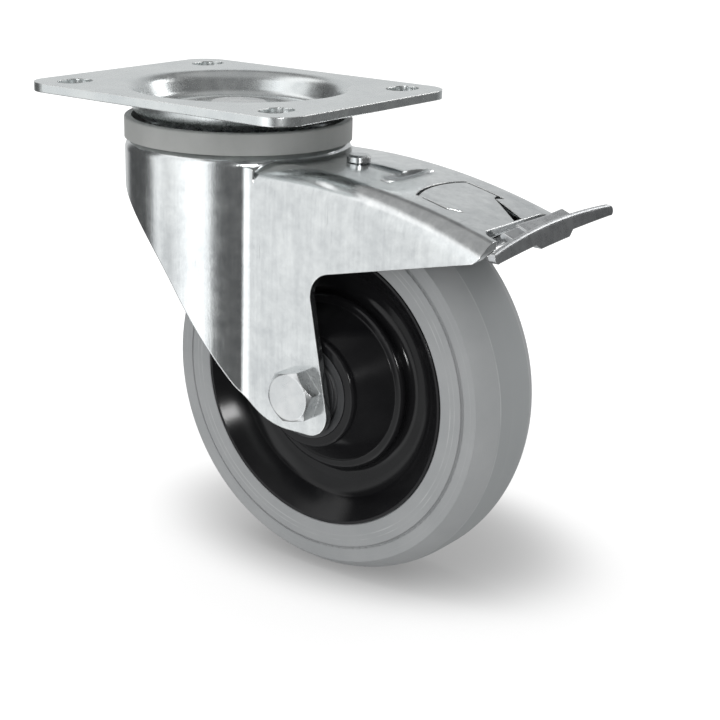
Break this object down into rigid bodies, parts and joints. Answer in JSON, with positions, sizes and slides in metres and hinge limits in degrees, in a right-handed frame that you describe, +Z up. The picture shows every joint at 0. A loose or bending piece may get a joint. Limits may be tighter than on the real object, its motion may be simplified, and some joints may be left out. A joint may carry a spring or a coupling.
{
  "type": "swivel castor",
  "caption": "Plate-mounted swivel castor with a deep drawn fork, a grey rubber wheel on a black rim and a foot pedal that locks wheel and swivel.",
  "frame": {"origin": "on the swivel axis, in the plane of the plate's top face", "axes": "+Z up through the plate, +X from the swivel axis towards the wheel and the pedal, Y along the axle with the nut at +Y"},
  "size_m": [0.218, 0.11, 0.189],
  "materials": {
    "plate_zinc": "bright zinc plating with fine scratches",
    "pin_zinc": "bright zinc plating",
    "lock_ring_steel": "hardened steel, dull",
    "fork_zinc": "bright zinc plating over deep drawn steel",
    "seal_grey": "satin moulded",
    "ball_steel": "polished and greased",
    "rivet_zinc": "bright zinc plating",
    "bolt_zinc": "bright zinc plating",
    "washer_zinc": "bright zinc plating",
    "tube_steel": "drawn steel",
    "bearing_steel": "ground",
    "tyre_grey": "matt moulded rubber",
    "rim_black": "glossy moulded nylon",
    "bearing_seal_black": "matt",
    "hub_cover_grey": "satin moulded",
    "spring_steel": "oiled spring wire",
    "pedal_zinc": "bright zinc plating, worn at the edge",
    "shoe_rubber": "matt moulded rubber",
    "lever_zinc": "zinc plating"
  },
  "bodies": {
    "plate": {"top_plate": "plate_zinc", "king_pin": "pin_zinc", "lock_ring": "lock_ring_steel"},
    "swivel_fork": {"fork": "fork_zinc", "seal_ring": "seal_grey", "upper_balls": "ball_steel", "lower_balls": "ball_steel", "roof_rivet": "rivet_zinc", "axle_bolt": "bolt_zinc", "axle_nut": "bolt_zinc", "axle_washer": "washer_zinc", "axle_tube": "tube_steel", "bearing_inner_rings": "bearing_steel", "pedal_pin": "pin_zinc", "return_spring": "spring_steel"},
    "wheel": {"tyre": "tyre_grey", "rim": "rim_black", "bearing_outer_rings": "bearing_steel", "bearing_balls": "ball_steel", "bearing_seals": "bearing_seal_black", "hub_covers": "hub_cover_grey"},
    "lock_pedal": {"pedal": "pedal_zinc", "brake_shoe": "shoe_rubber"},
    "swivel_lock_lever": {"lock_lever": "lever_zinc"}
  },
  "joints": [
    {"name": "swivel", "type": "hinge", "parent": "plate", "child": "swivel_fork", "pos_m": [0, 0, 0], "axis": [0, 0, 1], "continuous": true},
    {"name": "wheel_spin", "type": "hinge", "parent": "swivel_fork", "child": "wheel", "pos_m": [0.059, 0, -0.11], "axis": [0, 1, 0], "continuous": true},
    {"name": "pedal_press", "type": "hinge", "parent": "swivel_fork", "child": "lock_pedal", "pos_m": [0.113, 0, -0.0405], "axis": [0, 1, 0], "range_deg": [0, 18]},
    {"name": "swivel_lock", "type": "hinge", "parent": "swivel_fork", "child": "swivel_lock_lever", "pos_m": [0.084, 0, -0.03], "axis": [0, 1, 0], "range_deg": [-2.6, 0]}
  ],
  "couplings": [
    {"joint": "swivel_lock", "follows": "pedal_press", "ratio": -0.14444}
  ]
}
